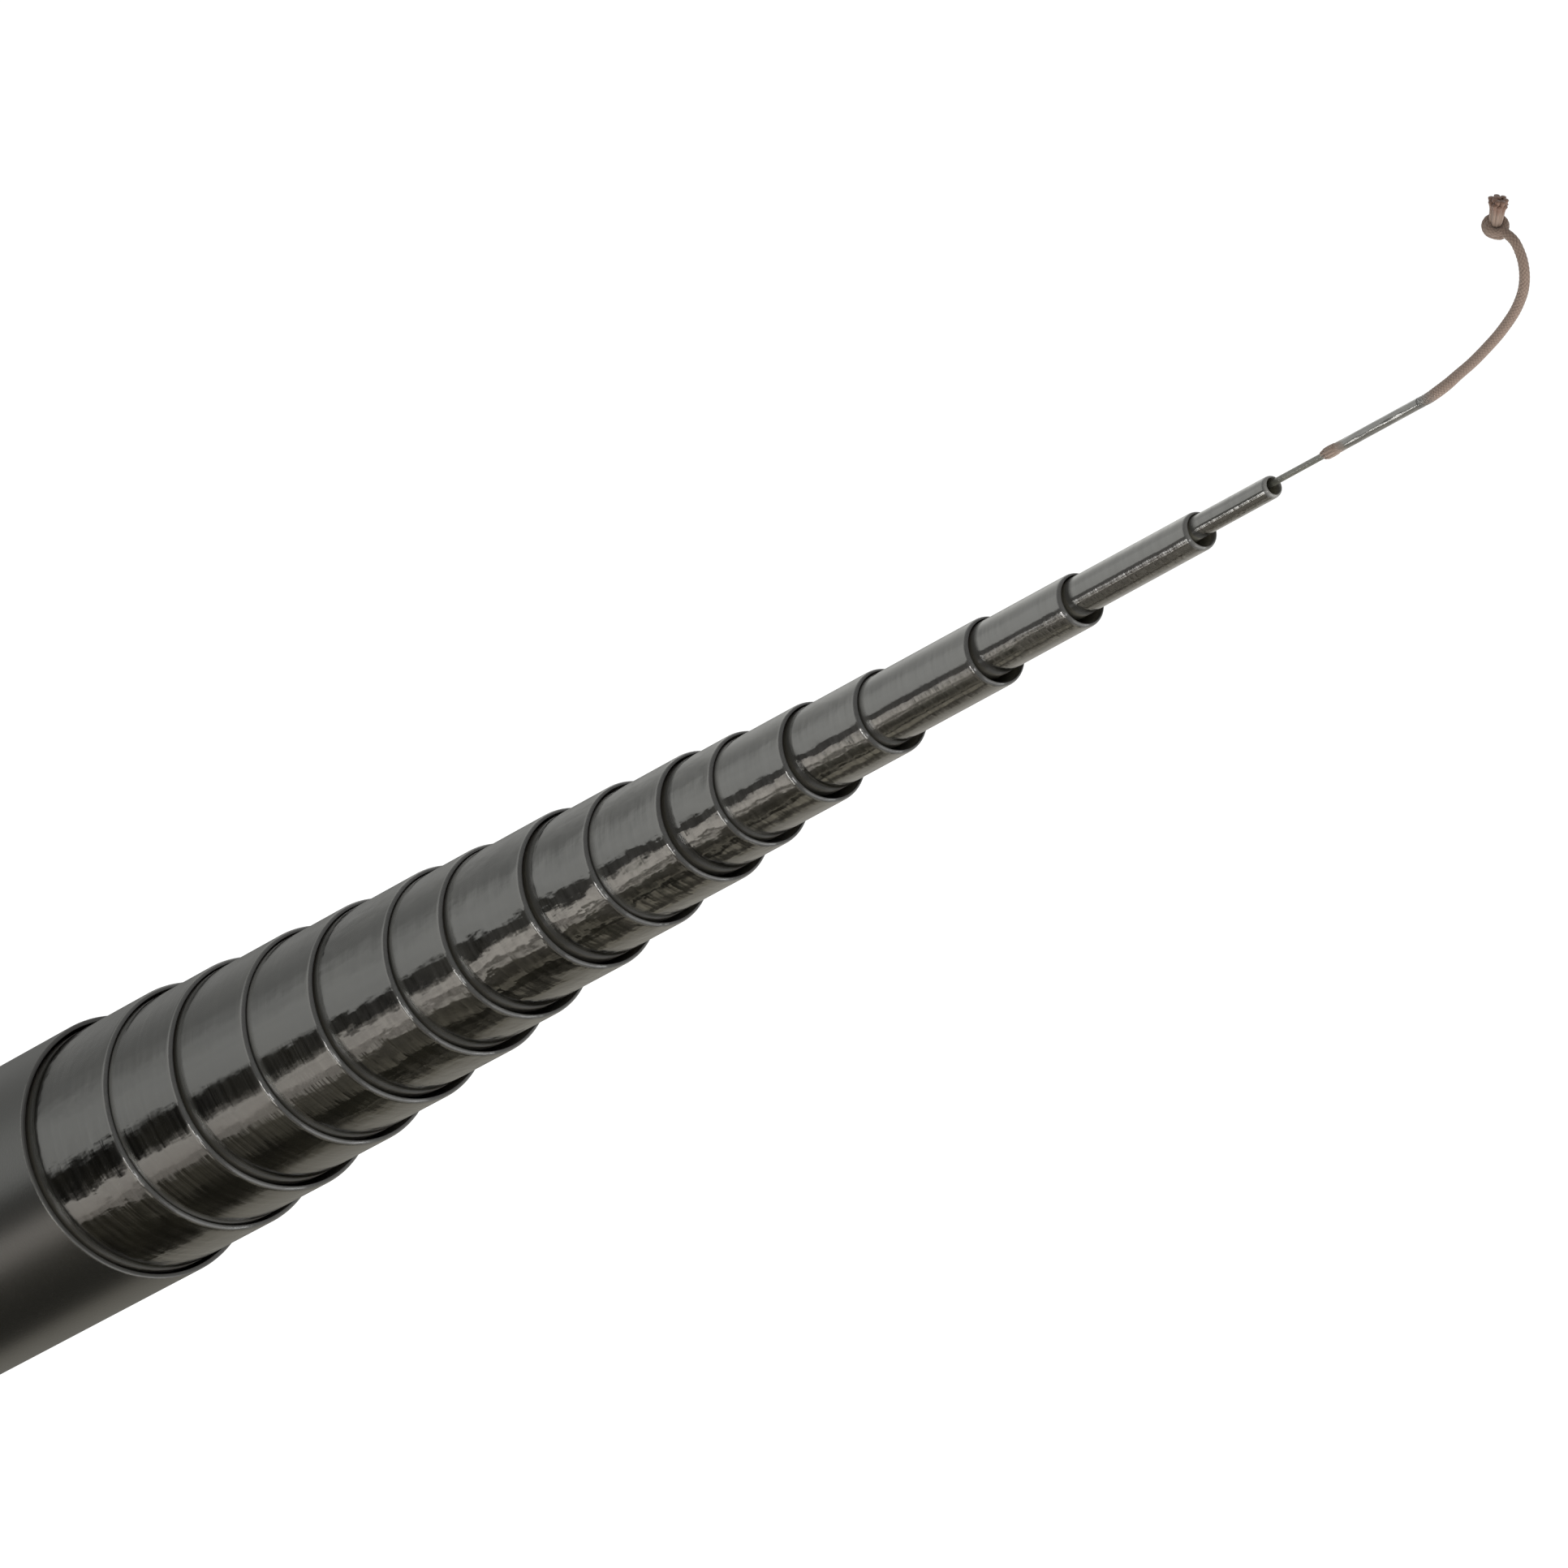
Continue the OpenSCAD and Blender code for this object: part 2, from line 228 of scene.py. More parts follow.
def sweep(shape, path, radius, sides, relief=lambda way, turn: plain_ridge, **marks):
    """Add a closed tube to a mesh. radius(share) is its radius at a share of its way, relief(way, turn)
    is the height of its yarns from 0 to 1, and marks such as singed(share) tell its finish more."""
    stores = shape.verts.layers.float
    layers = {name: stores.get(name) or stores.new(name) for name in ("ridge", "singed", "soaked")}
    rings = []
    way = 0.0
    side = (path[1] - path[0]).orthogonal()
    for i, middle in enumerate(path):
        ahead = (path[min(i + 1, len(path) - 1)] - path[max(i - 1, 0)]).normalized()
        side = (side - ahead * side.dot(ahead)).normalized()
        other = ahead.cross(side)
        share = i / (len(path) - 1)
        way += (middle - path[i - 1]).length if i else 0
        ring = []
        for k in range(sides):
            angle = math.tau * k / sides
            ridge = relief(way, k / sides)
            r = radius(share) + yarn_relief * (ridge - mean_ridge)
            vert = shape.verts.new(middle + r * (math.cos(angle) * side + math.sin(angle) * other))
            vert[layers["ridge"]] = ridge
            for name, mark in marks.items():
                vert[layers[name]] = mark(share)
            ring.append(vert)
        rings.append(ring)
    for low, high in zip(rings, rings[1:]):
        for k in range(sides):
            shape.faces.new((low[k], low[(k + 1) % sides], high[(k + 1) % sides], high[k]))
    shape.faces.new(reversed(rings[0]))
    shape.faces.new(rings[-1])


def braid(way, turn):
    """Height from 0 to 1 of the braid's yarns, which pass over and under each other."""
    left = turn * yarns_each_way + way / yarn_step
    right = turn * yarns_each_way - way / yarn_step
    upper, lower = (left, right) if (math.floor(left) + math.floor(right)) % 2 == 0 else (right, left)
    across = 2 * (upper % 1) - 1
    along = 2 * (lower % 1) - 1
    return math.sqrt(1 - across**2) * (1 - 0.35 * along**2)


def fade(share, from_one, to_zero):
    """1 at and beyond one share of the way, 0 at and beyond another, and straight in between."""
    return min(1, max(0, (share - to_zero) / (from_one - to_zero)))


def cord_radius(share):
    """Radius of the free cord: swollen where the lacquer ends and drawn thinner at the knot."""
    swelling = 0.1 * math.exp(-(((share - 0.12) / 0.09) ** 2))
    thinning = 0.09 * fade(share, 1, 0.75)
    return cord_diameter / 2 * (1 + swelling - thinning)


def placed(name, mesh, finish):
    """A smooth piece at the origin with one finish."""
    mesh.materials.clear()
    mesh.materials.append(finish)
    mesh.shade_smooth()
    piece = bpy.data.objects.new(name, mesh)
    bpy.context.scene.collection.objects.link(piece)
    return piece


def closed_piece(name, shape, finish):
    """A piece from a bmesh of closed shells, with its faces turned outwards."""
    bmesh.ops.recalc_face_normals(shape, faces=shape.faces)
    mesh = bpy.data.meshes.new(name)
    shape.to_mesh(mesh)
    shape.free()
    return placed(name, mesh, finish)


tan_braid = braid_finish()
route = [cord_exit + Vector(point) * MM for point in cord_route]
cord_into_knot = 0.4 * MM
cord_heading = (route[-1] - route[-2]).normalized()
cord_path = smooth_path([*route[:-1], route[-1] + cord_heading * cord_into_knot], cord_ring_gap)
cord_length = sum((b - a).length for a, b in zip(cord_path, cord_path[1:]))
cord_shape = bmesh.new()
sweep(
    cord_shape,
    cord_path,
    cord_radius,
    sides=64,
    relief=braid,
    soaked=lambda share: fade(share, -0.02, 0.14),
)
cord = closed_piece("tip_cord", cord_shape, tan_braid)
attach(cord, "tip")
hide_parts("lillian_cord")

# The stopper knot is the same braid, turned once round itself and pulled tight. Its cut end stands
# out of the turn as a spread brush of yarns with singed tips.
knot_ahead = 1.38 * MM
knot_middle = route[-1] + cord_heading * knot_ahead
knot_axis = Vector((-0.41, -0.35, 0.85)).normalized()
knot_out = -(cord_heading - knot_axis * cord_heading.dot(knot_axis)).normalized()
knot_round = knot_out.cross(knot_axis)
knot_turns = 1.15
knot_rise = 0.62 * MM
knot_radius = 1.06 * MM
knot_braid_radius = 0.43 * MM
tail_turn = math.radians(-43)
tail_way = Vector((math.sin(tail_turn), 0, math.cos(tail_turn)))
tail_across = Vector((tail_way.z, 0, -tail_way.x))
tail_side = tail_way.cross(tail_across)
tail_end = 3.5
tail_raggedness = 0.55
tail_doming = 0.25
tail_ring_gap = 0.1 * MM
tail_yarns = 26
tail_yarn_radius = 0.165 * MM


def in_knot(turn, out, up):
    """A point a turn round the knot's hole from where the cord comes in, out from its axis and up it."""
    angle = math.tau * turn
    return knot_middle + (knot_out * math.cos(angle) + knot_round * math.sin(angle)) * out + knot_axis * up


def in_tail(out, angle, up):
    """A point of the cut end, out from its middle at an angle and up along it, in millimetres."""
    side = tail_across * math.cos(angle) + tail_side * math.sin(angle)
    return knot_middle + (side * out + tail_way * up) * MM


knot_shape = bmesh.new()
knot_points = [knot_middle - cord_heading * 1.5 * MM, in_knot(0.04, 1.25 * MM, -0.3 * MM)]
turn_steps = 9
for k in range(turn_steps + 1):
    share = k / turn_steps
    knot_points.append(in_knot(0.12 + knot_turns * share, knot_radius, (share - 0.5) * knot_rise))
knot_points += [in_knot(1.42, 0.6 * MM, 0.1 * MM), in_knot(1.5, 0.1 * MM, -0.35 * MM)]
knot_path = smooth_path(knot_points, cord_ring_gap)
sweep(
    knot_shape,
    knot_path,
    lambda share: knot_braid_radius * min(1, 0.8 + 3 * share),
    sides=56,
    relief=braid,
)
golden_turn = math.pi * (3 - math.sqrt(5))
for i in range(tail_yarns):
    spread = math.sqrt((i + 0.5) / tail_yarns)
    angle = i * golden_turn
    top = tail_end - tail_raggedness * (0.5 + 0.5 * math.sin(7 * angle)) - tail_doming * spread
    profile = ((-0.3, 0.45), (0.5, 0.6), (1.2, 0.68), (1.9, 0.72), (2.5, 0.8), (top, 0.95))
    yarn_path = smooth_path([in_tail(out * spread, angle, up) for up, out in profile], tail_ring_gap)
    sweep(
        knot_shape,
        yarn_path,
        lambda share: tail_yarn_radius * (1 + 0.7 * fade(share, 1, 0.6)),
        sides=10,
        # A yarn height of 1.1 lifts these yarns a little and keeps the painted gap shade off them.
        relief=lambda way, turn: 1.1,
        singed=lambda share: fade(share, 0.8, 0.55),
    )
knot = closed_piece("stopper_knot", knot_shape, tan_braid)
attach(knot, "tip")
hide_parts("lillian_knot")

# The sleeve is the lower end of the same cord, slipped over the tip, glued and dipped in lacquer.
# The lacquer leaves lumps, and the braid's cut yarns show bare where it starts.
sleeve_radius = 0.6 * MM
sleeve_ring_gap = 0.12 * MM
sleeve_bend_guide = 5 * MM
fray_yarns = 10


def sleeve_outside(share):
    """Radius of the sleeve: drawn in at its cut lower end."""
    return sleeve_radius * (1 - 0.2 * fade(share, 0, 0.03))


sleeve_middle = Vector((cord_exit.x, cord_exit.y, 0))
sleeve_path = smooth_path(
    [
        sleeve_middle + Vector((0, 0, z))
        for z in (sleeve_low.z, cord_exit.z - sleeve_bend_guide, cord_exit.z)
    ],
    sleeve_ring_gap,
)
sleeve_shape = bmesh.new()
sweep(
    sleeve_shape,
    sleeve_path,
    sleeve_outside,
    sides=40,
    relief=lambda way, turn: 0.65 + 0.12 * braid(way, turn),
    soaked=lambda share: fade(share, 0.26, 0.1),
)
for i in range(fray_yarns):
    angle = math.tau * i / fray_yarns
    out = Vector((math.cos(angle), math.sin(angle), 0))
    drop = (0.2 + 0.45 * math.sin(2.4 * i) ** 2) * MM
    fray = [
        sleeve_middle + out * reach * MM + Vector((0, 0, sleeve_low.z + z))
        for reach, z in ((0.5, 1.8 * MM), (0.56, 0.8 * MM), (0.54, -drop / 3), (0.42, -drop))
    ]
    fray_path = smooth_path(fray, sleeve_ring_gap)
    sweep(sleeve_shape, fray_path, lambda share: (0.14 - 0.06 * share) * MM, sides=8)
sleeve = closed_piece("cord_sleeve", sleeve_shape, tan_braid)
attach(sleeve, "tip")
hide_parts("lillian_sleeve")

# The tip is a thin solid rod of carbon, ground to a slow taper and lacquered. Its end is glued in
# the sleeve.
tip_low, tip_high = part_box("tip_section")
tip_base_radius = (tip_high.y - tip_low.y) / 2
tip_end_radius = 0.35 * MM


def turned(name, outline, finish, sides, middle=Vector()):
    """A closed piece turned on a lathe from (radius, height) points that run round its section."""
    shape = bmesh.new()
    rings = []
    for r, z in outline:
        angles = [math.tau * k / sides for k in range(sides if r > 0 else 1)]
        rings.append([
            shape.verts.new((middle.x + r * math.cos(angle), middle.y + r * math.sin(angle), z))
            for angle in angles
        ])
    for low, high in zip(rings, rings[1:] + rings[:1]):
        if len(low) == len(high) == 1:
            continue
        for k in range(sides):
            below = [low[i % len(low)] for i in (k, k + 1)]
            above = [high[i % len(high)] for i in (k + 1, k)]
            shape.faces.new(dict.fromkeys(below + above))
    return closed_piece(name, shape, finish)


def rounded(*corners):
    """An outline with each (radius, height, rounding) corner drawn as a curve of that size."""
    steps = 5
    tight_edge = 1.2
    outline = []
    for i, (r, z, rounding) in enumerate(corners):
        here = Vector((r, z))
        if rounding == 0:
            outline.append(here)
            continue
        back = (Vector(corners[i - 1][:2]) - here).normalized() * rounding
        ahead = (Vector(corners[(i + 1) % len(corners)][:2]) - here).normalized() * rounding
        outline.append(here + back * tight_edge)
        for k in range(steps + 1):
            t = k / steps
            outline.append(here + back * (1 - t) ** 2 + ahead * t**2)
        outline.append(here + ahead * tight_edge)
    return outline


def tip_finish():
    """Ground carbon under clear lacquer, with faint rings from the grinding."""
    material, start, place = new_finish("ground_carbon")
    rings = start.noise(start.stretched(place, (0.05, 0.05, 1)), 0.5 * MM)
    shade = start.noise(place, 2 * MM).colour((0.055, 0.055, 0.045), (0.10, 0.10, 0.08))
    close_finish(start, rings * 0.004, {"Base Color": shade, "Roughness": 0.34 + rings * 0.16})
    return material


tip_middle = (tip_low + tip_high) / 2
tip_outline = rounded(
    (0, tip_low.z, 0),
    (tip_base_radius, tip_low.z, 0.2 * MM),
    (tip_end_radius, tip_high.z, 0.1 * MM),
    (0, tip_high.z, 0),
)
tip = turned("solid_tip", tip_outline, tip_finish(), sides=32, middle=tip_middle)
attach(tip, "tip")
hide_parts("tip_section")

# Sixteen tubes of carbon cloth, rolled on tapered mandrels, wrapped in tape while they cure and then
# lacquered. The tape leaves fine rings, the lacquer lies unevenly, and each mouth is cut square.
first_tube = 2
last_tube = 17
wall_taper = 0.000905223
butt_wall = 0.6 * MM
last_wall = 0.3 * MM
lip_height = 0.75 * MM
lip_paling_and_painted_hole_light_growth = 14
unevenness = [0.6, 0.35, 0.3, 0.45, 0.9, 0.55, 0.95, 1.0, 1.0, 0.95, 0.55, 0.6, 0.5, 0.35, 0.3, 0.3]


def tube_tree():
    """Geometry nodes that bend a grid into a tapered tube whose mouth is rounded over from outside."""
    wall_rows = 12
    lip_rows = 12
    lip_squareness = 0.9
    end_crowding = 4
    tree = bpy.data.node_groups.new("tapered_tube", "GeometryNodeTree")
    for name in ("Base Height", "Mouth Height", "Base Radius", "Taper", "Wall", "Lip Height", "Middle X",
                 "Middle Y", "Mouth Around", "Unevenness", "Mouth Wear"):
        tree.interface.new_socket(name, in_out="INPUT", socket_type="NodeSocketFloat")
    tree.interface.new_socket("Sides", in_out="INPUT", socket_type="NodeSocketInt")
    tree.interface.new_socket("Finish", in_out="INPUT", socket_type="NodeSocketMaterial")
    tree.interface.new_socket("Geometry", in_out="OUTPUT", socket_type="NodeSocketGeometry")
    start = Wire(tree)

    def size(name):
        return start.node("NodeGroupInput", out=name)

    last_row = 2 * wall_rows + lip_rows + 1
    grid = start.node("GeometryNodeMeshGrid", None, {
        "Size X": 1, "Size Y": 1, "Vertices X": last_row + 1, "Vertices Y": size("Sides") + 1,
    }, "Mesh")
    place = start.node("GeometryNodeInputPosition")
    row = (start.node("ShaderNodeSeparateXYZ", None, {0: place}, "X") + 0.5) * last_row
    turn = (start.node("ShaderNodeSeparateXYZ", None, {0: place}, "Y") + 0.5) * math.tau
    # Rows climb the outside, go over the lip, come down the inside and close across the base
    climb = row.between(0, wall_rows).math(
        "MINIMUM", row.between(2 * wall_rows + lip_rows, wall_rows + lip_rows)
    )
    from_end = 1 - abs(climb * 2 - 1)
    crowded = from_end**end_crowding
    climb_share = (1 + (climb - 0.5).math("SIGN") * (1 - crowded)) / 2
    over_lip = row.between(wall_rows, wall_rows + lip_rows)
    inside = row.between(wall_rows + lip_rows, wall_rows + lip_rows + 1)
    lip_angle = over_lip * (math.pi / 2)
    lip_rise = lip_angle.math("SINE").math("MAXIMUM", 0) ** lip_squareness * (1 - inside)
    lip_inset = (1 - lip_angle.math("COSINE").math("MAXIMUM", 0) ** lip_squareness) * row.between(
        last_row, last_row - 1
    )
    lip_foot = size("Mouth Height") - size("Lip Height")
    height = (
        size("Base Height")
        + (lip_foot - size("Base Height")) * climb_share
        + size("Lip Height") * lip_rise
    )
    radius = (
        size("Base Radius") - size("Taper") * (height - size("Base Height")) - size("Wall") * lip_inset
    )
    spot = start.node("ShaderNodeCombineXYZ", None, {
        "X": size("Middle X") + radius * turn.math("COSINE"),
        "Y": size("Middle Y") + radius * turn.math("SINE"),
        "Z": height,
    })
    marked = grid
    marks = {
        "cut_edge": over_lip.between(0.1, 0.6) * (1 - inside),
        "inside": inside,
        "mouth_around": size("Mouth Around"),
        "unevenness": size("Unevenness"),
        "mouth_wear": size("Mouth Wear"),
    }
    for name, value in marks.items():
        marked = start.node(
            "GeometryNodeStoreNamedAttribute", {"data_type": "FLOAT", "domain": "POINT"},
            {"Geometry": marked, "Name": name, "Value": value},
        )
    bent = start.node("GeometryNodeSetPosition", None, {"Geometry": marked, "Position": spot})
    closed = start.node("GeometryNodeMergeByDistance", None, {"Geometry": bent, "Distance": 0.001 * MM})
    real = start.node("GeometryNodeRealizeInstances", None, {"Geometry": closed})
    dressed = start.node("GeometryNodeSetMaterial", None, {"Geometry": real, "Material": size("Finish")})
    start.node("NodeGroupOutput", None, {"Geometry": dressed})
    return tree


def from_tree(name, tree, sizes):
    """A plain mesh piece from a geometry tree, with the tree's inputs set by name."""
    holder = bpy.data.objects.new(name, bpy.data.meshes.new(name))
    bpy.context.scene.collection.objects.link(holder)
    nodes = holder.modifiers.new(name, "NODES")
    nodes.node_group = tree
    for item in tree.interface.items_tree:
        if item.in_out == "INPUT":
            nodes[item.identifier] = sizes[item.name]
    depsgraph = bpy.context.evaluated_depsgraph_get()
    mesh = bpy.data.meshes.new_from_object(holder.evaluated_get(depsgraph))
    bpy.data.objects.remove(holder)
    shape = bmesh.new()
    shape.from_mesh(mesh)
    bmesh.ops.recalc_face_normals(shape, faces=shape.faces)
    shape.to_mesh(mesh)
    shape.free()
    return placed(name, mesh, sizes["Finish"])


def lacquer_finish():
    """Black carbon under glossy lacquer: tape rings, waves in the lacquer, a pale cut edge, dull brown inner
    walls, and a dull ring where the tube lies closed in the mouth around it. The ring is paler than the
    lacquer, partly a scuff and partly painted light that lifts the shade beside the gap; the brown of the
    inner walls is partly painted light in the gap too. Towards the slimmest tubes the cut edge grows paler,
    and so do the inner walls, as painted light in their dark holes."""
    material, start, place = new_finish("black_lacquer")
    cut_edge = start.attribute("cut_edge")
    inside = start.attribute("inside")
    rings = start.noise(start.stretched(place, (0.03, 0.03, 1)), 1.0 * MM, 3.0)
    waves = start.noise(start.stretched(place, (1, 1, 0.7)), 4.5 * MM)
    ripples = start.noise(place, 1.8 * MM)
    streaks = start.noise(start.stretched(place, (1, 1, 0.25)), 1.2 * MM)
    calm = start.noise(place, 12 * MM).between(0.3, 0.7)
    uneven = start.attribute("unevenness") * (0.3 + calm * 0.7)
    height = rings * 0.038 + (waves * 0.4 + ripples * 0.06 + streaks * 0.08) * uneven
    patch = start.noise(start.stretched(place, (1, 1, 0.5)), 5 * MM, 3.0).between(0.4, 0.75)
    depth = (patch * 0.8 + rings * 0.2).colour((0.0025, 0.0023, 0.0019), (0.012, 0.011, 0.0075))
    past_mouth = start.node("ShaderNodeSeparateXYZ", None, {0: place}, "Z") - start.attribute("mouth_around")
    # Painted light, in part: the ring from 2.5 mm below to 1.3 mm above the mouth around is paler and
    # duller, a scuff that also lifts the shade beside the gap.
    scuff_ring_and_painted_light = past_mouth.between(1.3 * MM, 0.1 * MM) * past_mouth.between(-2.5 * MM, -1.5 * MM)
    dull = scuff_ring_and_painted_light.math("MAXIMUM", inside)
    # Painted light: the inner walls and a band just under the mouth take a pale brown that lifts the shade
    # in the gap, paler still in the slimmest tubes' dark holes.
    inner_wall_and_painted_gap_light = (past_mouth.between(0, -0.5 * MM) * scuff_ring_and_painted_light * 0.5).math("MAXIMUM", inside)
    mouth_wear = start.attribute("mouth_wear")
    gap = mouth_wear.colour((0.16, 0.145, 0.11), (0.42, 0.4, 0.31))
    edge_and_gap_tone = dull.colour(depth, inner_wall_and_painted_gap_light.colour((0.03, 0.029, 0.024), gap))
    cut = start.noise(place, 0.2 * MM).colour((0.014, 0.014, 0.012), (0.055, 0.054, 0.049))
    # The cut edge grows paler towards the slimmest tubes.
    edge = mouth_wear.colour(cut, (0.2, 0.195, 0.18))
    close_finish(start, height, {
        "Base Color": cut_edge.colour(edge_and_gap_tone, edge),
        "Roughness": 0.06 + rings.between(0.35, 0.65) * 0.07 + cut_edge * 0.15 + dull * 0.3,
        "Anisotropic": 1.0,
        "Anisotropic Rotation": 0.25,
        "IOR": 1.52,
    })
    return material


tapered_tube = tube_tree()
black_lacquer = lacquer_finish()
for number in range(first_tube, last_tube + 1):
    node = f"section_{number:02d}"
    node_around = f"section_{number - 1:02d}" if number > first_tube else "butt_tube"
    low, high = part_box(node)
    tube = from_tree(f"tube_{number:02d}", tapered_tube, {
        "Base Height": low.z,
        "Mouth Height": high.z,
        "Base Radius": (high.y - low.y) / 2,
        "Taper": wall_taper,
        "Wall": butt_wall + (last_wall - butt_wall) * (number - 1) / (last_tube - 1),
        "Lip Height": lip_height,
        "Middle X": (low.x + high.x) / 2,
        "Middle Y": (low.y + high.y) / 2,
        "Mouth Around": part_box(node_around)[1].z,
        "Unevenness": unevenness[number - first_tube],
        "Mouth Wear": ((number - first_tube) / (last_tube - first_tube)) ** lip_paling_and_painted_hole_light_growth,
        "Sides": 160,
        "Finish": black_lacquer,
    })
    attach(tube, node)
    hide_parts(node)

# The butt tube is the same rolled carbon in matt grey-black paint. It thickens into a parallel grip
# at its foot, and is counterbored there for the threaded ring.
butt_low, butt_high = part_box("butt_tube")
ring_low, ring_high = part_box("thread_ring")
grip_radius = (butt_high.y - butt_low.y) / 2
grip_length = 180 * MM
grip_fade = 40 * MM
butt_mouth_radius = 17 * MM
counterbore_radius = (ring_high.y - ring_low.y) / 2 + 0.02 * MM


def paint_finish():
    """Matt paint with fine pores, a faint sheen where it was handled and a mouth edge where wear has left it
    paler.
    """
    material, start, place = new_finish("matt_paint")
    height = start.node("ShaderNodeSeparateXYZ", None, {0: place}, "Z")
    rings = start.noise(start.stretched(place, (0.02, 0.02, 1)), 1.2 * MM, 3.0)
    pores = start.noise(place, 0.35 * MM)
    handled = start.noise(place, 30 * MM, 4.0)
    edge_and_gap_tone = (height + pores * 0.4 * MM).between(butt_high.z - 0.15 * MM, butt_high.z + 0.05 * MM)
    paint = handled.colour((0.005, 0.005, 0.0045), (0.008, 0.008, 0.007))
    close_finish(start, rings * 0.006 + pores * 0.012, {
        "Base Color": edge_and_gap_tone.colour(paint, (0.05, 0.049, 0.045)),
        "Roughness": 0.27 + handled * 0.08,
        "IOR": 1.43,
    })
    return material


def butt_outer(z):
    """Radius of the slim part of the butt tube at a height."""
    return butt_mouth_radius + wall_taper * (butt_high.z - z)


fade_top = butt_low.z + grip_length + grip_fade
butt_outline = rounded(
    (counterbore_radius, butt_low.z, 0.1 * MM),
    (grip_radius, butt_low.z, 0.25 * MM),
    (grip_radius, butt_low.z + grip_length, 12 * MM),
    (butt_outer(fade_top), fade_top, 12 * MM),
    (butt_mouth_radius, butt_high.z, 0.34 * MM),
    (butt_mouth_radius - butt_wall, butt_high.z, 0.1 * MM),
    (butt_outer(ring_high.z) - butt_wall, ring_high.z, 0.1 * MM),
    (counterbore_radius, ring_high.z, 0.1 * MM),
)
butt = turned("butt_blank", butt_outline, paint_finish(), sides=256)
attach(butt, "butt")
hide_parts("butt_tube")


# The threaded ring is turned from bare aluminium and bonded in the counterbore. The screw cap is
# turned and knurled from the same bar and anodised dark.
def turned_metal(name, dull, bright, roughness):
    """Turned metal with tool marks round the axis and up the faces."""
    material, start, place = new_finish(name)
    flat_place = start.stretched(place, (1, 1, 0))
    from_axis = start.node("ShaderNodeVectorMath", {"operation": "LENGTH"}, {0: flat_place}, "Value")
    height = start.node("ShaderNodeSeparateXYZ", None, {0: place}, "Z")
    cut = start.node("ShaderNodeCombineXYZ", None, {"X": from_axis, "Z": height})
    marks = start.noise(cut, 0.12 * MM)
    stain = start.noise(place, 5 * MM, 3.0)
    close_finish(start, marks * 0.006, {
        "Base Color": stain.colour(dull, bright),
        "Metallic": 1.0,
        "Roughness": roughness + marks * 0.14,
    })
    return material


def dress(node, finish):
    """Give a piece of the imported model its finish."""
    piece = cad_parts[node]
    piece.data.materials.clear()
    piece.data.materials.append(finish)


bare_metal = turned_metal(
    "turned_aluminium", dull=(0.50, 0.50, 0.50), bright=(0.64, 0.64, 0.63), roughness=0.22
)
dark_metal = turned_metal(
    "dark_anodising", dull=(0.045, 0.046, 0.05), bright=(0.075, 0.077, 0.083), roughness=0.30
)
dress("thread_ring", bare_metal)
dress("butt_cap", dark_metal)

# The cap's sealing ring and foot are moulded black rubber. The foot ring is pressed into a recess
# in the cap's underside and stands a little out of it, with two grooves against slipping.
seal_low, seal_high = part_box("cap_o_ring")
seal_thickness = seal_high.z - seal_low.z
seal_radius = (seal_high.y - seal_low.y) / 2 - seal_thickness / 2
foot_low, foot_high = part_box("cap_foot")
foot_outer = (foot_high.y - foot_low.y) / 2
foot_width = 4.6 * MM
groove_depth = 0.4 * MM
groove_half_mouth = 0.45 * MM
groove_half_floor = 0.25 * MM


def rubber_finish():
    """Moulded rubber, dull and slightly dusty, with a fine grain."""
    material, start, place = new_finish("moulded_rubber")
    grain = start.noise(place, 0.25 * MM, 3.0)
    dust = start.noise(place, 6 * MM, 4.0)
    close_finish(start, grain * 0.03, {
        "Base Color": dust.between(0.4, 0.8).colour((0.014, 0.014, 0.014), (0.035, 0.034, 0.032)),
        "Roughness": 0.55 + dust * 0.25,
    })
    return material


moulded_rubber = rubber_finish()
seal_steps = 24
seal_height = (seal_low.z + seal_high.z) / 2
seal_outline = []
for k in range(seal_steps):
    angle = math.tau * k / seal_steps
    out = seal_radius + seal_thickness / 2 * math.cos(angle)
    seal_outline.append((out, seal_height + seal_thickness / 2 * math.sin(angle)))
seal = turned("sealing_ring", seal_outline, moulded_rubber, sides=160)
foot_corners = [(foot_outer - foot_width, foot_high.z, 0.15 * MM), (foot_outer - foot_width, 0, 0.4 * MM)]
for share in (0.36, 0.64):
    groove = foot_outer - foot_width * (1 - share)
    foot_corners += [
        (groove - groove_half_mouth, 0, 0.1 * MM),
        (groove - groove_half_floor, groove_depth, 0.1 * MM),
        (groove + groove_half_floor, groove_depth, 0.1 * MM),
        (groove + groove_half_mouth, 0, 0.1 * MM),
    ]
foot_corners += [(foot_outer, 0, 0.4 * MM), (foot_outer, foot_high.z, 0.15 * MM)]
foot = turned("foot_ring", rounded(*foot_corners), moulded_rubber, sides=192)
for piece, node in ((seal, "cap_o_ring"), (foot, "cap_foot")):
    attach(piece, "butt_cap")
    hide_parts(node)

# The shock pad is punched from closed-cell foam and sits on the cap's spigot by its plug. It takes
# the knock of the sections when the pole is closed.
pad_low, pad_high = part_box("shock_pad")
pad_radius = (pad_high.y - pad_low.y) / 2
pad_thickness = 2.5 * MM
pad_plug_radius = pad_radius - 2.2 * MM
vent_radius = 1.5 * MM


def foam_finish():
    """Grey foam: small open cells on the cut faces with painted shade in their low parts, and a soft, dull
    skin.
    """
    material, start, place = new_finish("grey_foam")
    cells = start.node("ShaderNodeTexVoronoi", None, {"Vector": place, "Scale": 1 / (0.45 * MM)}, "Distance")
    tone = start.noise(place, 4 * MM)
    skin = tone.colour((0.065, 0.065, 0.07), (0.10, 0.10, 0.105))
    # Painted shade: the colour darkens where the cells' bump sinks.
    close_finish(start, cells * -0.12, {
        "Base Color": cells.between(0.1, 0.7).colour(skin, (0.025, 0.025, 0.027)), "Roughness": 0.92,
    })
    return material


